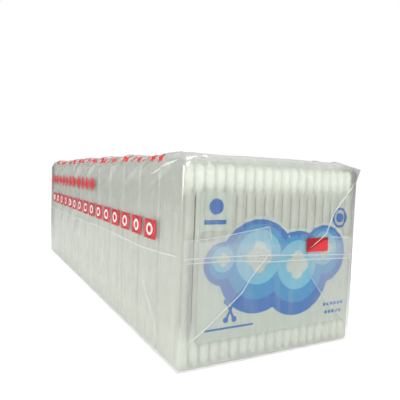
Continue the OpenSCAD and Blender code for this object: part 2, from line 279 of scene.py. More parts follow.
def crease(u, v, start, end, width, height):
    """A ridge along a straight line that fades out towards both ends."""
    start, end = np.array(start, float), np.array(end, float)
    along = end - start
    length = np.linalg.norm(along)
    along /= length
    share = ((u - start[0]) * along[0] + (v - start[1]) * along[1]) / length
    off = (u - start[0]) * along[1] - (v - start[1]) * along[0]
    fade = np.clip(share, 0, 1) * np.clip(1 - share, 0, 1) * 4
    return height * np.sqrt(fade) * np.exp(-((np.abs(off) / width) ** 1.5))


def random_creases(u, v, seed, count, low, high, length, width, height, lean=0.0, spread=math.pi):
    """Many small ridges at seeded places."""
    rng = np.random.default_rng(seed)
    total = np.zeros_like(u)
    for _ in range(count):
        middle = rng.uniform(low, high)
        angle = lean + rng.uniform(-spread / 2, spread / 2)
        reach = rng.uniform(0.4, 1) * length / 2 * np.array([math.cos(angle), math.sin(angle)])
        size = rng.uniform(0.5, 1)
        total += crease(u, v, middle - reach, middle + reach, width * size, height * size)
    return total


def inside_polygon(u, v, corners, soft):
    """1 inside a polygon and 0 outside, with a soft edge."""
    inside = np.zeros(u.shape, bool)
    nearest = np.full(u.shape, 1e9)
    for (u0, v0), (u1, v1) in zip(corners, corners[1:] + corners[:1]):
        crosses = (v0 > v) != (v1 > v)
        rise = v1 - v0 if v1 != v0 else 1e-9
        inside ^= crosses & (u < u0 + (u1 - u0) * (v - v0) / rise)
        length = (u1 - u0) ** 2 + (v1 - v0) ** 2
        share = np.clip(((u - u0) * (u1 - u0) + (v - v0) * (v1 - v0)) / length, 0, 1)
        nearest = np.minimum(nearest, np.hypot(u - u0 - share * (u1 - u0), v - v0 - share * (v1 - v0)))
    return np.clip(0.5 + np.where(inside, nearest, -nearest) / (2 * soft), 0, 1)


# Folds of the wrap on an end, as (across, up) in millimetres seen from outside, with width and height
END_FOLDS = [
    ([(-38.5, 10.6), (-31.3, 15.4), (-21.1, 23.2), (-16.3, 27.0), (-12.7, 32.1), (-3.2, 42.1)], 0.4, 0.45),
    ([(40.8, 69.6), (35.1, 63.7), (28.2, 55.9), (24.4, 47.4), (15.0, 41.2)], 0.4, 0.5),
    ([(-41.0, 40.7), (-22.0, 40.7), (-3.1, 40.2), (16.0, 39.2), (41.0, 38.1)], 0.5, 0.4),
    ([(-41.0, 39.1), (-22.0, 39.1), (-3.1, 37.6), (16.0, 37.3), (41.0, 36.6)], 0.4, 0.3),
    ([(-41.0, 46.8), (-27.1, 47.9), (-5.1, 51.2), (-3.3, 44.6)], 0.3, 0.2),
    ([(16.4, 31.4), (25.9, 19.8), (40.5, 7.5)], 0.3, 0.22),
    ([(24.4, 46.4), (40.5, 45.2)], 0.3, 0.2),
]
# Places on an end where several layers of film lie over each other, and how much haze they add
END_LAYERS = [
    (
        [(-42, 8), (-38, 11), (-21.1, 23.2), (-12.7, 32.1)]
        + [(-3.2, 42.5), (-5.1, 51.2), (-27.1, 48), (-42, 46.8)],
        0.1,
    ),
    ([(42, 5), (42, 46), (26, 46.5), (15, 41.5), (16.4, 31.4), (25.9, 19.8)], 0.1),
    ([(-42, 38.6), (42, 36.2), (42, 44.5), (15, 43.4), (-3, 44.6), (-42, 46.5)], 0.07),
]
# Folds on the left side, as (along, up)
SIDE_FOLDS = [
    (
        [(-129.0, 41.4), (-114.0, 40.5), (-92.2, 39.6), (-60.0, 39.9)]
        + [(-24.2, 40.1), (34.5, 38.6), (127.0, 38.6)],
        0.5,
        0.18,
    ),
    ([(-92.0, 31.0), (-96.5, 26.8), (-110.0, 12.1), (-113.4, 5.0)], 0.5, 0.15),
    ([(-125.4, 75.0), (-112.0, 72.0), (-100.8, 69.4)], 0.8, 0.3),
]
# Grey places on the left side where the wrap clings to the bags
SIDE_CLING = [
    [(12, 41), (26, 38), (40, 27), (46, 18), (40, 36), (30, 41)],
    [(34, 46), (52, 40), (66, 24), (62, 40), (50, 47)],
    [(56, 50), (76, 42), (92, 26), (88, 44), (74, 52)],
    [(84, 52), (104, 44), (118, 30), (114, 48), (100, 54)],
    [(-6, 40), (4, 38), (10, 30), (8, 38), (2, 41)],
]


class WrapShape:
    """Surface of the outer wrap: a block that swells, wrinkles, pleats and folds."""

    low_radius = 1.7
    top_radius = 5.4
    # How far from an end the swell and the pleats fade out, and how far the block stands off the bags
    end_fade = 14.0
    stand_off = 0.8
    # Ranges of the pleats: share of the full height, slant along the pack, half width and spacing
    pleat_share = (0.35, 1)
    pleat_slant = (0.9, 2.4)
    pleat_half = (1.4, 3.4)
    pleat_spacing = (6, 15)
    # Height and reach of the slow waves along the top edges
    wave_share = 0.45
    wave_reach = 26
    # Half width and depth of the dips between two bags, and the height that they end at
    dip_half = 1.3
    dip_depth = 0.3
    dip_top = 66
    # How much the flap on an end stands out where it lies over another
    flap_rise = 0.3
    # Widths of the crumpled zone, of the painted shade in the folds along the top edges, and of the painted
    # shade at the right upright edge
    crumpled_reach = 13
    darkened_reach = 18
    edge_reach = 2.4
    edge_depth = 9

    def __init__(self, sizes):
        self.sizes = sizes
        # The CAD box of the wrap holds its own swell, flaps and lap, so the plain block comes from the bags
        _, last_high = box_mm(BAGS[-1])
        self.half_w = BAG_HIGH[0] + self.stand_off
        self.half_len = (last_high[1] - BAG_LOW[1]) / 2 + self.stand_off
        self.height = BAG_HIGH[2] + self.stand_off
        rng = np.random.default_rng(12)
        self.pleats = {}
        for side in (-1, 1):
            along, pleats = -self.half_len - 10, []
            while along < self.half_len - 4:
                ranges = (self.pleat_share, self.pleat_slant, self.pleat_half)
                pleats.append((along, *[rng.uniform(*bounds) for bounds in ranges]))
                along += rng.uniform(*self.pleat_spacing)
            self.pleats[side] = pleats

    def near_end(self, y):
        return np.clip((self.half_len - np.abs(y)) / self.end_fade, 0, 1)

    def down_from_edge(self, x, z):
        """Way down the side from the long top edge, negative in over the top."""
        return (self.height - z) - (self.half_w - np.abs(x))

    def pleat_rise(self, x, y, z, side):
        down = self.down_from_edge(x, z)
        near_edge = np.clip(1 - np.abs(down) / self.wave_reach, 0, 1)
        total = self.wave_share * ripple(y, down, 17 + side, 30) * near_edge
        for place, size, lean, width in self.pleats[side]:
            off = y - place - lean * down
            shape = np.exp(-((np.abs(off) / width) ** 1.5))
            total += size * shape * np.clip(1 - np.abs(down) / (self.sizes.pleat_reach * size), 0, 1)
        return self.sizes.pleat_height * total

    def side_rise(self, x, y, z, side):
        swell = self.sizes.swell * np.sin(math.pi * np.clip(z / self.height, 0, 1))
        fine = self.sizes.wrinkle_height * (ripple(y, z, 4 + side, 18) + 0.5 * ripple(y, z, 8 + side, 8))
        runs = random_creases(
            y, z, 22 + side, 14, (-self.half_len, 4), (self.half_len, self.height - 14),
            44, 0.9, 0.2, math.radians(85), math.radians(40),
        )
        gap = np.abs((y - BAG_LOW[1] + BAG_PITCH / 2 + 0.3) % BAG_PITCH - BAG_PITCH / 2)
        tight = np.clip((self.dip_top - z) / 6, 0, 1) * np.clip(z / 8, 0, 1)
        dip = self.dip_depth * np.exp(-((gap / self.dip_half) ** 2)) * tight
        pleats = self.pleat_rise(x, y, z, side)
        return self.near_end(y) * (swell + pleats + runs - dip) + fine * np.clip(z / 8, 0, 1)

    def top_rise(self, x, y, z):
        swell = self.sizes.swell * (1 - (x / self.half_w) ** 2)
        pleats = np.where(x < 0, self.pleat_rise(x, y, z, -1), self.pleat_rise(x, y, z, 1))
        fine = self.sizes.wrinkle_height * (ripple(x, y, 7, 14) + 0.6 * ripple(x, y, 8, 7))
        return self.near_end(y) * (swell + pleats) + fine

    def end_rise(self, x, z, end):
        """Folded flaps on an end: the top and bottom flaps lie over the side flaps."""
        from_level = np.minimum(z, self.height - z)
        from_side = self.half_w - np.abs(x)
        over = np.clip((from_side - from_level) / 0.8 + 0.5, 0, 1) * np.clip((from_level - 3) / 3, 0, 1)
        fine = self.sizes.wrinkle_height * (ripple(x, z, 10 + end, 18) + 0.5 * ripple(x, z, 14 + end, 8))
        corner = (self.half_w, self.height - 12)
        runs = random_creases(x, z, 32 + end, 9, (-self.half_w, 4), corner, 30, 0.7, 0.16)
        inside = np.clip(np.minimum(from_level, from_side) / 6, 0, 1)
        return self.flap_rise * over + inside * (fine + runs + 0.25)

    def place(self, points, normals):
        """Moves the points of the plain block out to the surface."""
        x, y, z = np.moveaxis(points, -1, 0)
        nx, ny, nz = np.moveaxis(normals, -1, 0)
        side = np.where(x < 0, self.side_rise(x, y, z, -1), self.side_rise(x, y, z, 1))
        end = np.where(y < 0, self.end_rise(x, z, -1), self.end_rise(x, z, 1))
        top = self.top_rise(x, y, z)
        return points + np.stack([nx * side, ny * end, np.maximum(nz, 0) * top], -1)

    def layer_haze(self, points, normals):
        """Haze where the film is crumpled along the top edges or lies double on the ends."""
        x, y, z = np.moveaxis(points, -1, 0)
        down = self.down_from_edge(x, z)
        rough = 0.5 + 0.5 * ripple(y + 1.6 * down, 0.3 * down, 51, 9)
        crumpled = np.clip(1 - (down - 3) / self.crumpled_reach, 0, 1) * (0.06 + 0.2 * rough)
        on_end = np.clip((np.abs(normals[..., 1]) - 0.8) / 0.15, 0, 1)
        across = np.where(y < 0, x, -x)
        doubled = sum(amount * inside_polygon(across, z, corners, 0.7) for corners, amount in END_LAYERS)
        by_end = np.clip((np.abs(y) - self.half_len + 9) / 4, 0, 1) * np.clip(normals[..., 2], 0, 1)
        # edge_shade adds haze at the right upright edge, so that its painted shade shows
        extra = 0.4 * self.edge_shade(points) + 0.25 * by_end
        return crumpled * (1 - on_end) + (doubled - 0.03) * on_end + extra

    def painted_shade(self, points, normals):
        """Painted shade: how far the haze is darkened in the folds along the long top edges and at one
        upright edge.
        """
        x, y, z = np.moveaxis(points, -1, 0)
        down = self.down_from_edge(x, z)
        folded = 0.5 + 0.5 * ripple(y - 1.2 * down, 0.4 * down, 57, 11)
        along_edge = np.clip(1 - (down - 2) / self.darkened_reach, 0, 1) * np.abs(normals[..., 0])
        return np.clip(0.75 * self.edge_shade(points) + 0.5 * folded * along_edge, 0, 1)

    def edge_shade(self, points):
        """Painted shade along the right upright edge of an end, where the rounded film turns away from the
        light.
        """
        x, y, z = np.moveaxis(points, -1, 0)
        across = np.where(y < 0, x, -x)
        near = np.clip(1.4 - (self.half_w - across) / self.edge_reach, 0, 1)
        return near * (self.half_len - np.abs(y) < self.edge_depth) * np.clip(z / 30, 0, 1)

    def on_end(self, across, z, off, end):
        x = -end * across
        return np.stack([x, end * (self.half_len + self.end_rise(x, z, end) + off), z], -1)

    def on_left(self, y, z, off):
        return np.stack([-(self.half_w + self.side_rise(-self.half_w + 0 * y, y, z, -1) + off), y, z], -1)


def ribbon(path, width, height, place):
    """Thin ridge along a path of (u, v) points; place maps u, v and the way out to a point in space."""
    path = np.array(path, float)
    lengths = np.concatenate([[0], np.cumsum(np.linalg.norm(np.diff(path, axis=0), axis=1))])
    count = max(3, round(lengths[-1] / 1.0))
    at = np.linspace(0, lengths[-1], count)
    u, v = np.interp(at, lengths, path[:, 0]), np.interp(at, lengths, path[:, 1])
    du, dv = np.gradient(u), np.gradient(v)
    size = np.hypot(du, dv)
    taper = np.clip(np.minimum(at, lengths[-1] - at) / 4, 0.15, 1)
    wide = width / 2 * taper
    columns = [
        place(u - side * dv / size * wide, v + side * du / size * wide, off * taper)
        for side, off in ((-1, 0.0), (0, height), (1, 0.0))
    ]
    points = np.stack(columns, 1).reshape(-1, 3)
    faces = [
        (3 * i + j, 3 * i + j + 1, 3 * i + j + 4, 3 * i + j + 3) for i in range(count - 1) for j in range(2)
    ]
    return points, faces


def join_parts(name, parts):
    """One mesh from several lists of points and faces."""
    points, faces, first = [], [], 0
    for part_points, part_faces in parts:
        points.append(part_points)
        faces += [tuple(first + i for i in face) for face in part_faces]
        first += len(part_points)
    return make_mesh(name, np.concatenate(points), faces)


# Mesh of the bag films: faces from swab to swab on the front bag and on the others, and height of a face
FRONT_STEPS = 10
REST_STEPS = 4
UP_STEP = 2.4


class BagShape:
    """Film round one bag: it sinks in between the swabs."""

    low_radius = 1.4
    top_radius = 4.6
    # Corners of the pale backing of the print
    backing = [(-34.5, 10), (40, 10), (40, 46.5), (-34.5, 46.5)]
    # Shares of the groove over the heads and over the sticks
    head_groove = 0.14
    stick_groove = 0.86
    # Heights between which the painted shade in the slits shows, and the place where the left ones end
    slit_low = 15
    slit_high = 64.5
    slit_side = -34.5

    def __init__(self, sizes, node):
        self.sizes = sizes
        self.low, self.high = box_mm(node)
        self.is_front = node == BAGS[0]
        # The back of the CAD film carries its lap seam, which the block leaves out
        self.high[1] -= SEAM_T
        self.number = int(node[-2:])

    def groove(self, along, pitch, first):
        """0 over a swab and 1 in the crease between two."""
        return 1 - np.abs(np.cos(math.pi * (along - first) / pitch))

    def backed(self, x, z):
        """Where the pale backing of the print lies on the front bag and keeps the film smooth."""
        if not self.is_front:
            return 0 * x
        return inside_polygon(x, z, self.backing, 0.8)

    def depth_at(self, z):
        """The film sinks in most over the thin sticks, and little over the heads."""
        sticks = np.clip((z - 13) / 5, 0, 1) * np.clip((65.5 - z) / 3, 0, 1)
        edges = np.clip(z / 5, 0, 1) * np.clip((74 - z) / 5, 0, 1)
        return self.sizes.groove * (self.head_groove * edges + self.stick_groove * sticks)

    def thin_haze(self, z):
        """Less haze over the heads, where the film is drawn tight and the cotton shows through."""
        return 0.55 * np.clip((z - 63) / 5, 0, 1) + 0.3 * np.clip((12 - z) / 5, 0, 1)

    def milky(self, z):
        """More haze over the sticks above the print, where the film lies away from them."""
        return np.clip((z - 45) / 4, 0, 1) * np.clip((66 - z) / 4, 0, 1)

    def front_sink(self, x, z):
        uneven = 1 + 0.35 * ripple(x, z, 40 + self.number, 12)
        edge = np.clip((self.high[0] - 1.5 - np.abs(x)) / 2, 0, 1)
        smooth = 1 - 0.8 * self.backed(x, z)
        return self.depth_at(z) * self.groove(x, SWAB_PITCH, 0) * uneven * edge * smooth

    def side_sink(self, y, z):
        middle = (self.low[1] + self.high[1]) / 2
        edge = np.clip(np.minimum(y - self.low[1], self.high[1] - y) / 2.5, 0, 1)
        return self.depth_at(z) * 0.12 * self.groove(y, ROW_PITCH, middle) * edge

    def top_sink(self, x, y):
        edge = np.clip((self.high[0] - np.abs(x)) / 3, 0, 1)
        return 0.45 * edge * self.groove(x, SWAB_PITCH, 0) + 0.15 * ripple(x, y, 60 + self.number, 9)

    def cling(self, y, z):
        """Darker places on the left side where the wrap clings to the bags."""
        return np.clip(sum(inside_polygon(y, z, corners, 1.6) for corners in SIDE_CLING), 0, 1)

    def painted_gap_shade(self, x, z):
        """Painted shade in the slits between the first swabs at the left of the front, dark, and softer
        beyond.
        """
        slit = np.clip((self.groove(x, SWAB_PITCH, 0) - 0.74) / 0.16, 0, 1)
        tall = np.clip((z - self.slit_low) / 3, 0, 1) * np.clip((self.slit_high - z) / 2, 0, 1)
        left = 1.6 * np.clip(self.slit_side - x, 0, 1)
        right = np.clip((z - 46) / 3, 0, 1) * np.clip((x + 22) / 1.5, 0, 1) * np.clip((38 - x) / 12, 0.25, 1)
        return slit * tall * np.clip(left + 0.75 * right, 0, 1.5) * (1 - self.backed(x, z))


SWABS_ACROSS = 19
ROWS = 5
STICK_D = 2.4
SEAM_T = 0.2
HEAD_LOW, HEAD_HIGH = box_mm("top_cotton_01")
STICK_LOW, STICK_HIGH = box_mm("swab_sticks_01")
HEAD_D = STICK_D + (HEAD_HIGH[0] - HEAD_LOW[0]) - (STICK_HIGH[0] - STICK_LOW[0])
SWAB_PITCH = (HEAD_HIGH[0] - HEAD_LOW[0] - HEAD_D) / (SWABS_ACROSS - 1)
ROW_PITCH = (HEAD_HIGH[1] - HEAD_LOW[1] - HEAD_D) / (ROWS - 1)
# Red tiles on the left side: the first one's distance from the front end, their spacing, height and number
TILE_FIRST = 26.75
TILE_PITCH = 15.0
TILE_Z = 48.0
TILES = 15
# Outline of a cotton head, as (share of its radius, share of its length from the tip)
HEAD_OUTLINE = [
    (0.45, 0.012), (0.78, 0.06), (0.95, 0.13), (1.0, 0.24), (1.0, 0.58), (0.84, 0.82), (0.6, 1.0),
]


def swab_places(node):
    """Middle of each swab of a bag, from the CAD box of its heads."""
    low, _ = box_mm("top_cotton_" + node[-2:])
    places = []
    for row in range(ROWS):
        count = SWABS_ACROSS - row % 2
        for i in range(count):
            places.append(((i - (count - 1) / 2) * SWAB_PITCH, low[1] + HEAD_D / 2 + row * ROW_PITCH))
    return np.array(places)


def lathed(places, radii, heights, segments, pointed):
    """Turned shapes side by side: radii and heights hold one row for each place."""
    turn = 2 * np.pi * np.arange(segments) / segments
    count, rings = radii.shape
    points = np.zeros((count, rings * segments + 1, 3))
    walls = radii[:, :, None]
    points[:, :-1, 0] = (places[:, 0, None, None] + walls * np.cos(turn)).reshape(count, -1)
    points[:, :-1, 1] = (places[:, 1, None, None] + walls * np.sin(turn)).reshape(count, -1)
    points[:, :-1, 2] = np.repeat(heights[:, :rings], segments, axis=1)
    points[:, -1, :2] = places
    points[:, -1, 2] = heights[:, -1]
    size = rings * segments + 1
    faces = []
    for ring in range(rings - 1):
        for i in range(segments):
            a, b = ring * segments + i, ring * segments + (i + 1) % segments
            faces.append((a, b, b + segments, a + segments))
    if pointed:
        caps = [((i + 1) % segments, i, size - 1) for i in range(segments)]
    else:
        caps = []
    all_faces = []
    for start in range(0, count * size, size):
        all_faces += [tuple(start + i for i in face) for face in faces + caps]
    return points.reshape(-1, 3), all_faces


# Shader node helpers


def new_group(name, inputs, outputs):
    """Shader node group with float or colour sockets."""
    group = bpy.data.node_groups.new(name, "ShaderNodeTree")
    kinds = {"float": "NodeSocketFloat", "color": "NodeSocketColor"}
    for socket_name, kind, value in inputs:
        socket = group.interface.new_socket(name=socket_name, in_out="INPUT", socket_type=kinds[kind])
        socket.default_value = value
    for socket_name, kind in outputs:
        group.interface.new_socket(name=socket_name, in_out="OUTPUT", socket_type=kinds[kind])
    return group


class Wiring:
    """Short way to add nodes to a tree and link them."""

    def __init__(self, tree):
        self.tree = tree

    def add(self, kind, **settings):
        node = self.tree.nodes.new(kind)
        inputs = settings.pop("inputs", {})
        for key, value in settings.items():
            setattr(node, key, value)
        for key, value in inputs.items():
            if isinstance(value, bpy.types.NodeSocket):
                self.tree.links.new(value, node.inputs[key])
            else:
                node.inputs[key].default_value = value
        return node

    def math(self, operation, a, b=0.0, clamp=False):
        node = self.add("ShaderNodeMath", operation=operation, use_clamp=clamp, inputs={0: a, 1: b})
        return node.outputs[0]


def new_material(name):
    material = bpy.data.materials.new(name)
    material.use_nodes = True
    material.node_tree.nodes.clear()
    wiring = Wiring(material.node_tree)
    output = wiring.add("ShaderNodeOutputMaterial")
    return material, wiring, output


def film_wrinkle_group():
    """Fine wrinkles of thin film: a height for bump and a mask of the sharpest ones."""
    name = "Film wrinkles"
    if name in bpy.data.node_groups:
        return bpy.data.node_groups[name]
    group = new_group(
        name,
        [("Scale", "float", 60.0), ("Stretch", "float", 0.35)],
        [("Height", "float"), ("Crease", "float")],
    )
    w = Wiring(group)
    given = w.add("NodeGroupInput")
    result = w.add("NodeGroupOutput")
    where = w.add("ShaderNodeTexCoord")
    shape = w.add("ShaderNodeCombineXYZ", inputs={0: 1.0, 1: 1.0, 2: given.outputs["Stretch"]})
    stretched = w.add("ShaderNodeVectorMath", operation="MULTIPLY")
    group.links.new(where.outputs["Object"], stretched.inputs[0])
    group.links.new(shape.outputs[0], stretched.inputs[1])
    soft = w.add(
        "ShaderNodeTexNoise",
        inputs={
            "Vector": stretched.outputs[0],
            "Scale": given.outputs["Scale"],
            "Detail": 4.0,
            "Roughness": 0.55,
            "Distortion": 0.6,
        },
    )
    ridge = w.math("ABSOLUTE", w.math("SUBTRACT", soft.outputs["Fac"], 0.5))
    sharp = w.math("SUBTRACT", 1.0, w.math("MULTIPLY", ridge, 9.0), clamp=True)
    height = w.math("ADD", soft.outputs["Fac"], w.math("MULTIPLY", sharp, 0.25))
    group.links.new(height, result.inputs["Height"])
    group.links.new(w.math("POWER", sharp, 3.0), result.inputs["Crease"])
    return group


def mottle_group():
    """Slow uneven tone, for ink, cotton and sticks."""
    name = "Mottle"
    if name in bpy.data.node_groups:
        return bpy.data.node_groups[name]
    group = new_group(
        name,
        [("Color", "color", (0.8, 0.8, 0.8, 1.0)), ("Scale", "float", 200.0), ("Amount", "float", 0.1)],
        [("Color", "color")],
    )
    w = Wiring(group)
    given = w.add("NodeGroupInput")
    result = w.add("NodeGroupOutput")
    where = w.add("ShaderNodeTexCoord")
    noise = w.add(
        "ShaderNodeTexNoise",
        inputs={"Vector": where.outputs["Object"], "Scale": given.outputs["Scale"], "Detail": 3.0},
    )
    level = w.math("MULTIPLY", w.math("SUBTRACT", noise.outputs["Fac"], 0.5), given.outputs["Amount"])
    bright = w.math("ADD", level, 1.0)
    tinted = w.add("ShaderNodeVectorMath", operation="SCALE")
    group.links.new(given.outputs["Color"], tinted.inputs[0])
    group.links.new(bright, tinted.inputs["Scale"])
    group.links.new(tinted.outputs[0], result.inputs["Color"])
    return group


def film_material(name, tint, haze, roughness, scale, depth, gloss=1.0):
    """Thin film: clear where it is seen face on, glossy at a slant, with some haze.

    Two numbers painted on the mesh steer it: layers adds haze, and shade darkens the haze, or brightens
    it below 0. Shade carries painted shade, and a painted highlight below 0; it also darkens the cling
    patches and the ear.
    """
    material, w, output = new_material(name)
    wrinkles = w.add("ShaderNodeGroup", node_tree=film_wrinkle_group())
    wrinkles.inputs["Scale"].default_value = scale
    bump = w.add(
        "ShaderNodeBump",
        inputs={"Height": wrinkles.outputs["Height"], "Strength": 0.6, "Distance": depth * MM},
    )
    slant = w.add("ShaderNodeLayerWeight", inputs={"Blend": 0.5, "Normal": bump.outputs[0]})
    edge = w.math("POWER", slant.outputs["Facing"], 4.0)
    layers = w.add("ShaderNodeAttribute", attribute_name="layers")
    base = w.math("ADD", w.math("MAXIMUM", layers.outputs["Fac"], 0.0), 0.06)
    shine = w.math("MULTIPLY", w.math("ADD", w.math("MULTIPLY", edge, 0.5), base), gloss, clamp=True)
    clear = w.add("ShaderNodeBsdfTransparent", inputs={"Color": (0.985, 0.99, 0.985, 1.0)})
    mirror = w.add(
        "ShaderNodeBsdfGlossy",
        inputs={"Color": (1.0, 1.0, 1.0, 1.0), "Roughness": roughness, "Normal": bump.outputs[0]},
    )
    skin = w.add("ShaderNodeMixShader", inputs={0: shine, 1: clear.outputs[0], 2: mirror.outputs[0]})
    # Painted shade where shade is above 0 and a painted highlight where it is below 0: it scales the haze
    # colour
    shade = w.add("ShaderNodeAttribute", attribute_name="shade")
    bright = w.math("SUBTRACT", 1.0, shade.outputs["Fac"])
    toned = w.add("ShaderNodeVectorMath", operation="SCALE", inputs={0: tint, "Scale": bright})
    lit = {"Base Color": toned.outputs[0], "Normal": bump.outputs[0]}
    matt = w.add("ShaderNodeBsdfPrincipled", inputs=lit)
    matt.inputs["Roughness"].default_value = 0.5
    lit = {"Color": toned.outputs[0], "Normal": bump.outputs[0]}
    through = w.add("ShaderNodeBsdfTranslucent", inputs=lit)
    milk = w.add("ShaderNodeMixShader", inputs={0: 0.3, 1: matt.outputs[0], 2: through.outputs[0]})
    cloudy = w.math("ADD", w.math("MULTIPLY", wrinkles.outputs["Crease"], 0.1), haze)
    scatter = w.math("ADD", cloudy, layers.outputs["Fac"], clamp=True)
    mixed = w.add("ShaderNodeMixShader", inputs={0: scatter, 1: skin.outputs[0], 2: milk.outputs[0]})
    w.tree.links.new(mixed.outputs[0], output.inputs["Surface"])
    return material


def mottled(w, color, scale, amount):
    """Socket that gives a slightly uneven colour."""
    values = {"Color": (*color, 1.0), "Scale": scale, "Amount": amount}
    return w.add("ShaderNodeGroup", node_tree=mottle_group(), inputs=values).outputs["Color"]


def cotton_material(color):
    """Soft matt cotton with fine fibres."""
    material, w, output = new_material("Wound cotton")
    toned = mottled(w, color, 420.0, 0.16)
    where = w.add("ShaderNodeTexCoord")
    fibres = w.add(
        "ShaderNodeTexNoise",
        inputs={
            "Vector": where.outputs["Object"],
            "Scale": 2600.0,
            "Detail": 5.0,
            "Roughness": 0.7,
            "Distortion": 1.5,
        },
    )
    bump = w.add(
        "ShaderNodeBump", inputs={"Height": fibres.outputs["Fac"], "Strength": 0.5, "Distance": 0.15 * MM}
    )
    shader = w.add("ShaderNodeBsdfPrincipled")
    shader.inputs["Roughness"].default_value = 0.95
    shader.inputs["Sheen Weight"].default_value = 0.3
    shader.inputs["Specular IOR Level"].default_value = 0.2
    w.tree.links.new(toned, shader.inputs["Base Color"])
    w.tree.links.new(bump.outputs[0], shader.inputs["Normal"])
    w.tree.links.new(shader.outputs[0], output.inputs["Surface"])
    return material


def stick_material(color):
    """Matt stick with a faintly uneven tone."""
    material, w, output = new_material("Swab stick")
    toned = mottled(w, color, 150.0, 0.1)
    shader = w.add("ShaderNodeBsdfPrincipled")
    shader.inputs["Roughness"].default_value = 0.55
    w.tree.links.new(toned, shader.inputs["Base Color"])
    w.tree.links.new(shader.outputs[0], output.inputs["Surface"])
    return material


def ink_material(name, color, roughness=0.38, thin=0.0):
    """Ink on film: slightly uneven colour and the film's own gloss; thin is the share that shows through."""
    material, w, output = new_material(name)
    toned = mottled(w, color, 130.0, 0.22)
    wrinkles = w.add("ShaderNodeGroup", node_tree=film_wrinkle_group())
    wrinkles.inputs["Scale"].default_value = 120.0
    bump = w.add(
        "ShaderNodeBump", inputs={"Height": wrinkles.outputs["Height"], "Strength": 0.4, "Distance": 0.3 * MM}
    )
    shader = w.add("ShaderNodeBsdfPrincipled")
    shader.inputs["Roughness"].default_value = roughness
    shader.inputs["Specular IOR Level"].default_value = 0.25
    w.tree.links.new(toned, shader.inputs["Base Color"])
    w.tree.links.new(bump.outputs[0], shader.inputs["Normal"])
    clear = w.add("ShaderNodeBsdfTransparent")
    mixed = w.add("ShaderNodeMixShader", inputs={0: thin, 1: shader.outputs[0], 2: clear.outputs[0]})
    w.tree.links.new(mixed.outputs[0], output.inputs["Surface"])
    return material


# Pieces


class SWABPACK_OT_wrap(bpy.types.Operator):
    """Makes the outer wrap as one closed film with pleats, wrinkles and folded ends"""

    bl_idname = "swab_pack.wrap"
    bl_label = "Outer wrap"

    def execute(self, context):
        sizes = context.scene.swab_wrap
        shape = WrapShape(sizes)
        step = sizes.mesh_step
        half = (shape.half_w, shape.half_len)
        steps = (step, 1.5 * step, step)
        rings = loaf_rings(half, shape.height, shape.low_radius, shape.top_radius, steps)
        normals = outward(rings)
        mesh = mesh_from_rings("outer_wrap_film", shape.place(rings, normals))
        paint(mesh, "layers", shape.layer_haze(rings, normals))
        # Painted shade in the folds along the top edges and at the right upright edge
        paint(mesh, "shade", shape.painted_shade(rings, normals))
        film = film_material("Outer film", tuple(sizes.film_color), sizes.haze, 0.12, 55.0, 0.9)
        add_piece("outer_wrap_film", mesh, film, "outer_film", ("outer_wrap",))
        self.make_folds(shape)
        return {"FINISHED"}

    def make_folds(self, shape):
        """Pressed folds and sealed lines on the ends and on the left side, and the ear at one corner."""
        parts = []
        lift = 0.05
        for end in (-1, 1):
            for path, width, height in END_FOLDS:
                parts.append(
                    ribbon(path, width, height, lambda u, v, off: shape.on_end(u, v, lift + off, end))
                )
        for path, width, height in SIDE_FOLDS:
            parts.append(ribbon(path, width, height, lambda u, v, off: shape.on_left(u, v, lift + off)))
        ear_points, ear_faces = self.ear(shape)
        flat_count = sum(len(points) for points, _ in parts)
        parts.append((ear_points, ear_faces))
        folds = film_material("Pressed film", (0.92, 0.93, 0.92), 0.6, 0.15, 200.0, 0.2, gloss=1.3)
        mesh = join_parts("wrap_folds", parts)
        is_ear = np.arange(len(mesh.vertices)) >= flat_count
        for name, value in (("layers", 0.3), ("shade", 0.5)):
            store(mesh, name, value * is_ear)
        add_piece("wrap_folds", mesh, folds, "outer_film")

    def ear(self, shape):
        """Small pointed corner of film at the top right of the front end."""
        root_low = np.array([shape.half_w - 0.2, -shape.half_len + 1.0, shape.height - 9])
        root_high = np.array([shape.half_w - 3.0, -shape.half_len + 3.5, shape.height - 0.9])
        tip = np.array([shape.half_w + 1.8, -shape.half_len + 0.4, shape.height - 2.4])
        steps = 6
        size = steps + 1
        points, faces = [], []
        for i in range(size):
            for j in range(size):
                root = root_low + (root_high - root_low) * i / steps
                bend = 0.5 * math.sin(math.pi * i / steps) * (1 - j / steps)
                points.append(root + (tip - root) * j / steps + np.array([0, -bend, 0]))
        for i in range(steps):
            for j in range(steps):
                first = size * i + j
                faces.append((first, first + size, first + size + 1, first + 1))
        return np.array(points), faces


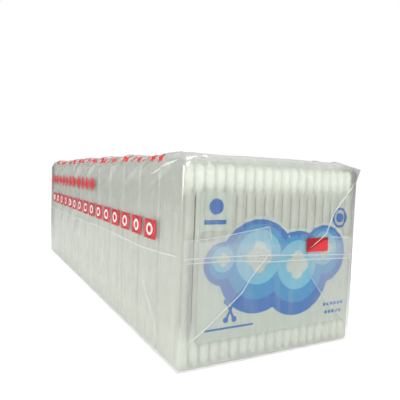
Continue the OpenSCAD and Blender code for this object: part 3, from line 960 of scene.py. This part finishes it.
class SWABPACK_OT_bags(bpy.types.Operator):
    """Makes the film of every bag, sunk in between its swabs"""

    bl_idname = "swab_pack.bags"
    bl_label = "Bag films"

    def execute(self, context):
        sizes = context.scene.swab_bag
        film = film_material("Bag film", tuple(sizes.film_color), sizes.haze, 0.3, 90.0, 0.25, gloss=0.6)
        for node in BAGS:
            shape = BagShape(sizes, node)
            low, high = shape.low, shape.high
            fine = SWAB_PITCH / (FRONT_STEPS if shape.is_front else REST_STEPS)
            half = ((high[0] - low[0]) / 2, (high[1] - low[1]) / 2)
            steps = (fine, fine, UP_STEP)
            rings = loaf_rings(half, high[2] - low[2], shape.low_radius, shape.top_radius, steps, 4, 3)
            normals = outward(rings)
            rings = rings + np.array([0, (low[1] + high[1]) / 2, low[2]])
            x, y, z = np.moveaxis(rings, -1, 0)
            nx, ny, nz = np.moveaxis(normals, -1, 0)
            down = np.maximum(nz, 0) * shape.top_sink(x, y)
            sink = [nx * shape.side_sink(y, z), ny * shape.front_sink(x, z), down]
            mesh = mesh_from_rings(node + "_skin", rings - np.stack(sink, -1))
            # Painted shade in the slits between the swabs: it darkens the haze and adds to it, so that the
            # dark colour shows
            slit_shade = shape.painted_gap_shade(x, z) * np.clip(-ny, 0, 1) * shape.is_front
            ahead = np.clip(-ny, 0, 1)
            milk = 0.3 * shape.milky(z) * ahead
            paint(mesh, "layers", 0.4 * slit_shade + milk - 0.4 * shape.thin_haze(z) + 0.25 * np.abs(nx))
            # Painted shade: the upper part of the bag sides is darker
            upper_side_shade = np.clip((z - 40) / 35, 0, 1) * np.abs(nx)
            # Painted highlight: the haze over the head tips on the front is brightened through a negative
            # shade
            tips = np.clip((z - 64) / 5, 0, 1) * ahead
            wet = 0.28 * shape.cling(y, z) * np.clip(-nx, 0, 1)
            paint(mesh, "shade", np.clip(0.8 * slit_shade + 0.22 * upper_side_shade + wet - 0.42 * tips, -1, 1))
            add_piece(node + "_skin", mesh, film, "bag_film", (node,))
        return {"FINISHED"}


class SWABPACK_OT_swabs(bpy.types.Operator):
    """Makes every swab of every bag with light meshes: sticks and two wound cotton heads each"""

    bl_idname = "swab_pack.swabs"
    bl_label = "Swabs"

    def execute(self, context):
        sizes = context.scene.swab_swabs
        cotton = cotton_material(tuple(sizes.cotton_color))
        stick = stick_material(tuple(sizes.stick_color))
        shares, along = np.array(HEAD_OUTLINE).T
        for node in BAGS:
            number = node[-2:]
            places = swab_places(node)
            segments = sizes.front_segments if node == BAGS[0] else sizes.segments
            rng = np.random.default_rng(int(number))
            ones = np.ones((len(places), 1))
            stick_low, stick_high = box_mm("swab_sticks_" + number)
            ends = np.array([stick_low[2], stick_high[2]]) * ones
            points, faces = lathed(places, STICK_D / 2 * np.ones_like(ends), ends, 6, False)
            mesh = make_mesh("swab_sticks_" + number + "_set", points, faces)
            add_piece(mesh.name, mesh, stick, "stick", ("swab_sticks_" + number,))
            for part, up in (("bottom_cotton_", 1), ("top_cotton_", -1)):
                low, high = box_mm(part + number)
                tip = low[2] if up > 0 else high[2]
                length = (high[2] - low[2]) * rng.uniform(0.9, 1.0, (len(places), 1))
                shift = up * sizes.uneven * rng.uniform(0, 1, (len(places), 1))
                radii = HEAD_D / 2 * shares * rng.uniform(0.95, 1.0, (len(places), 1))
                heights = tip + shift + up * length * along
                tips = tip + shift
                heights = np.concatenate([heights, tips], 1)
                points, faces = lathed(places, radii, heights, segments, True)
                if up < 0:
                    faces = [face[::-1] for face in faces]
                mesh = make_mesh(part + number + "_set", points, faces)
                add_piece(mesh.name, mesh, cotton, "cotton", (part + number,))
        return {"FINISHED"}


def cut_copy(node, steps):
    """Copy of a CAD node's mesh, cut across its axes at even steps so that it can bend."""
    work = bmesh.new()
    work.from_mesh(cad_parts[node].data)
    low, high = box_mm(node)
    for axis, step in steps.items():
        direction = Vector([1.0 if i == axis else 0.0 for i in range(3)])
        for count in range(math.ceil(low[axis] / step), math.ceil(high[axis] / step)):
            bmesh.ops.bisect_plane(
                work,
                geom=[*work.verts, *work.edges, *work.faces],
                plane_co=direction * count * step * MM,
                plane_no=direction,
            )
    mesh = bpy.data.meshes.new(node + "_ink")
    work.to_mesh(mesh)
    work.free()
    return mesh


def moved(mesh, change):
    """Moves the points of a mesh by a function over arrays in millimetres."""
    flat = np.zeros(len(mesh.vertices) * 3)
    mesh.vertices.foreach_get("co", flat)
    points = flat.reshape(-1, 3) / MM
    mesh.vertices.foreach_set("co", (change(points) * MM).ravel())
    mesh.update()


class SWABPACK_OT_front_print(bpy.types.Operator):
    """Lays the layers of ink on the uneven front of the first bag"""

    bl_idname = "swab_pack.front_print"
    bl_label = "Front print"

    def execute(self, context):
        colors = context.scene.swab_ink
        shape = BagShape(context.scene.swab_bag, BAGS[0])
        layers = [
            ("white_backing", "white_ink", ink_material("White ink", tuple(colors.white), 0.45, 0.3)),
            ("deep_blue_print", "deep_blue_ink", ink_material("Deep blue ink", tuple(colors.deep_blue))),
            ("mid_blue_print", "mid_blue_ink", ink_material("Mid blue ink", tuple(colors.mid_blue))),
            ("pale_blue_print", "pale_blue_ink", ink_material("Pale blue ink", tuple(colors.pale_blue))),
        ]
        layers.append(("white_motifs", "white_ink", layers[0][2]))

        lift = 0.12

        def onto_bag(points):
            sink = shape.front_sink(points[:, 0], points[:, 2]) - lift
            return points + np.stack([0 * sink, sink, 0 * sink], 1)

        for node, slot, material in layers:
            mesh = cut_copy(node, {0: SWAB_PITCH / FRONT_STEPS, 2: UP_STEP})
            moved(mesh, onto_bag)
            add_piece(node + "_ink", mesh, material, slot, (node,))
        return {"FINISHED"}


class SWABPACK_OT_wrap_print(bpy.types.Operator):
    """Lays the red print on the outer wrap"""

    bl_idname = "swab_pack.wrap_print"
    bl_label = "Red print"

    def execute(self, context):
        shape = WrapShape(context.scene.swab_wrap)
        red = ink_material("Red ink", tuple(context.scene.swab_ink.red))
        mesh = cut_copy("red_print", {1: 1.5, 2: 1.5})

        def onto_wrap(points):
            x, y, z = points.T
            layer = 0.15
            radius = shape.top_radius
            middle_x, middle_z = radius - shape.half_w, shape.height - radius
            lean = np.clip(np.arctan2(z - middle_z, middle_x - x), 0, math.pi / 2)
            plain_x = middle_x - radius * np.cos(lean)
            plain_z = np.minimum(z, middle_z) + radius * np.sin(lean)
            side = shape.side_rise(plain_x, y, plain_z, -1) + layer
            top = shape.top_rise(plain_x, y, plain_z) + layer
            end = shape.half_len + shape.end_rise(x, z, -1) + layer
            around = np.stack([plain_x - np.cos(lean) * side, y, plain_z + np.sin(lean) * top], 1)
            return np.where((y < -shape.half_len)[:, None], np.stack([x, -end, z], 1), around)

        moved(mesh, onto_wrap)
        add_piece("red_print_ink", mesh, red, "red_ink", ("red_print",))
        self.make_rings(context, shape)
        return {"FINISHED"}

    def make_rings(self, context, shape):
        """A plain white ring on each red tile."""
        count = 24
        turn = 2 * np.pi * np.arange(count) / count
        stretch = 1.3
        rim_radii = (1.45, 2.5)
        faces = [(j, (j + 1) % count, count + (j + 1) % count, count + j) for j in range(count)]
        parts = []
        for tile in range(TILES):
            along = TILE_FIRST + tile * TILE_PITCH - shape.half_len
            rims = [
                shape.on_left(along + stretch * r * np.cos(turn), TILE_Z + r * np.sin(turn), 0.3)
                for r in rim_radii
            ]
            parts.append((np.concatenate(rims), faces))
        white = ink_material("White rings", (0.8, 0.8, 0.8), 0.45)
        add_piece("tile_rings", join_parts("tile_rings", parts), white, "white_ink")


class SWABPACK_OT_stage(bpy.types.Operator):
    """Sets the camera, the floor and the soft lights"""

    bl_idname = "swab_pack.stage"
    bl_label = "Stage"

    def execute(self, context):
        sizes = context.scene.swab_stage
        self.make_camera(context, sizes)
        self.make_floor(sizes)
        self.make_sky(context, sizes)
        self.make_lamp("Key light", (-0.15, -0.75, 0.85), (0.0, -0.1, 0.04), 0.7, 7.0)
        self.make_lamp("Side light", (-0.9, -0.1, 0.22), (0.0, 0.0, 0.02), 0.5, 3.4)
        self.make_lamp("Top strip", (0.1, 0.2, 1.0), (0.0, 0.0, 0.05), 0.5, 3.0)
        context.scene.view_settings.view_transform = "Standard"
        return {"FINISHED"}

    def make_camera(self, context, sizes):
        data = bpy.data.cameras.new("Camera")
        data.sensor_width = 36.0
        data.lens = sizes.lens
        data.clip_start = 0.005
        camera = bpy.data.objects.new("Camera", data)
        context.scene.collection.objects.link(camera)
        yaw, pitch, roll = sizes.yaw, sizes.pitch, sizes.roll
        forward = Vector((math.sin(yaw) * math.cos(pitch), math.cos(yaw) * math.cos(pitch), math.sin(pitch)))
        right = Vector((math.cos(yaw), -math.sin(yaw), 0.0))
        up = right.cross(forward)
        across = math.cos(roll) * right + math.sin(roll) * up
        upward = -math.sin(roll) * right + math.cos(roll) * up
        turn = Matrix((across, upward, -forward)).transposed().to_4x4()
        camera.matrix_world = Matrix.Translation(Vector(sizes.camera_at)) @ turn
        context.scene.camera = camera

    def make_floor(self, sizes):
        mesh = bpy.data.meshes.new("Floor")
        reach = 6.0
        corners = [(-reach, -reach, 0), (reach, -reach, 0), (reach, reach, 0), (-reach, reach, 0)]
        mesh.from_pydata(corners, [], [(0, 1, 2, 3)])
        floor = bpy.data.objects.new("Floor", mesh)
        floor.location.z = -0.05 * MM
        bpy.context.scene.collection.objects.link(floor)
        material, w, output = new_material("Floor")
        matt = w.add("ShaderNodeBsdfDiffuse", inputs={"Color": (*sizes.floor_color, 1.0)})
        glow = w.add("ShaderNodeEmission", inputs={"Color": (1.0, 1.0, 1.0, 1.0), "Strength": 1.22})
        path = w.add("ShaderNodeLightPath")
        seen = w.math("MAXIMUM", path.outputs["Is Camera Ray"], path.outputs["Is Transmission Ray"])
        share = w.math("MULTIPLY", seen, 0.72)
        mixed = w.add("ShaderNodeMixShader", inputs={0: share, 1: matt.outputs[0], 2: glow.outputs[0]})
        w.tree.links.new(mixed.outputs[0], output.inputs["Surface"])
        mesh.materials.append(material)

    def make_sky(self, context, sizes):
        world = bpy.data.worlds.new("Sky")
        world.use_nodes = True
        world.node_tree.nodes.clear()
        w = Wiring(world.node_tree)
        path = w.add("ShaderNodeLightPath")
        level = w.math("ADD", w.math("MULTIPLY", path.outputs["Is Camera Ray"], 1.0 - sizes.sky), sizes.sky)
        glow = w.add("ShaderNodeBackground", inputs={"Color": (1.0, 1.0, 1.0, 1.0), "Strength": level})
        output = w.add("ShaderNodeOutputWorld")
        w.tree.links.new(glow.outputs[0], output.inputs["Surface"])
        context.scene.world = world

    def make_lamp(self, name, place, target, size, power):
        data = bpy.data.lights.new(name, "AREA")
        data.size = size
        data.energy = power
        lamp = bpy.data.objects.new(name, data)
        lamp.location = place
        lamp.rotation_mode = "QUATERNION"
        lamp.rotation_quaternion = (Vector(target) - Vector(place)).to_track_quat("-Z", "Y")
        bpy.context.scene.collection.objects.link(lamp)


class SWABPACK_PT_panel(bpy.types.Panel):
    """Lists the steps that dress the pack"""

    bl_label = "Swab Pack"
    bl_idname = "SWABPACK_PT_panel"
    bl_space_type = "VIEW_3D"
    bl_region_type = "UI"
    bl_category = "Swab Pack"

    def draw(self, context):
        for group in GROUPS:
            settings = getattr(context.scene, group)
            for key in settings.bl_rna.properties.keys():
                if key not in {"rna_type", "name"}:
                    self.layout.prop(settings, key)
        for step in STEPS:
            self.layout.operator(step.bl_idname)


GROUPS = {
    "swab_wrap": WrapSizes,
    "swab_bag": BagSizes,
    "swab_swabs": SwabSizes,
    "swab_ink": InkColors,
    "swab_stage": StageSizes,
}
STEPS = [
    SWABPACK_OT_stage,
    SWABPACK_OT_wrap,
    SWABPACK_OT_bags,
    SWABPACK_OT_swabs,
    SWABPACK_OT_front_print,
    SWABPACK_OT_wrap_print,
]


def register():
    for kind in [*GROUPS.values(), *STEPS, SWABPACK_PT_panel]:
        bpy.utils.register_class(kind)
    for name, kind in GROUPS.items():
        setattr(bpy.types.Scene, name, bpy.props.PointerProperty(type=kind))


def unregister():
    for name in GROUPS:
        delattr(bpy.types.Scene, name)
    for kind in reversed([*GROUPS.values(), *STEPS, SWABPACK_PT_panel]):
        bpy.utils.unregister_class(kind)


def main():
    register()
    bpy.ops.swab_pack.stage()
    bpy.ops.swab_pack.wrap()
    bpy.ops.swab_pack.bags()
    bpy.ops.swab_pack.swabs()
    bpy.ops.swab_pack.front_print()
    bpy.ops.swab_pack.wrap_print()


if __name__ == "__main__":
    main()
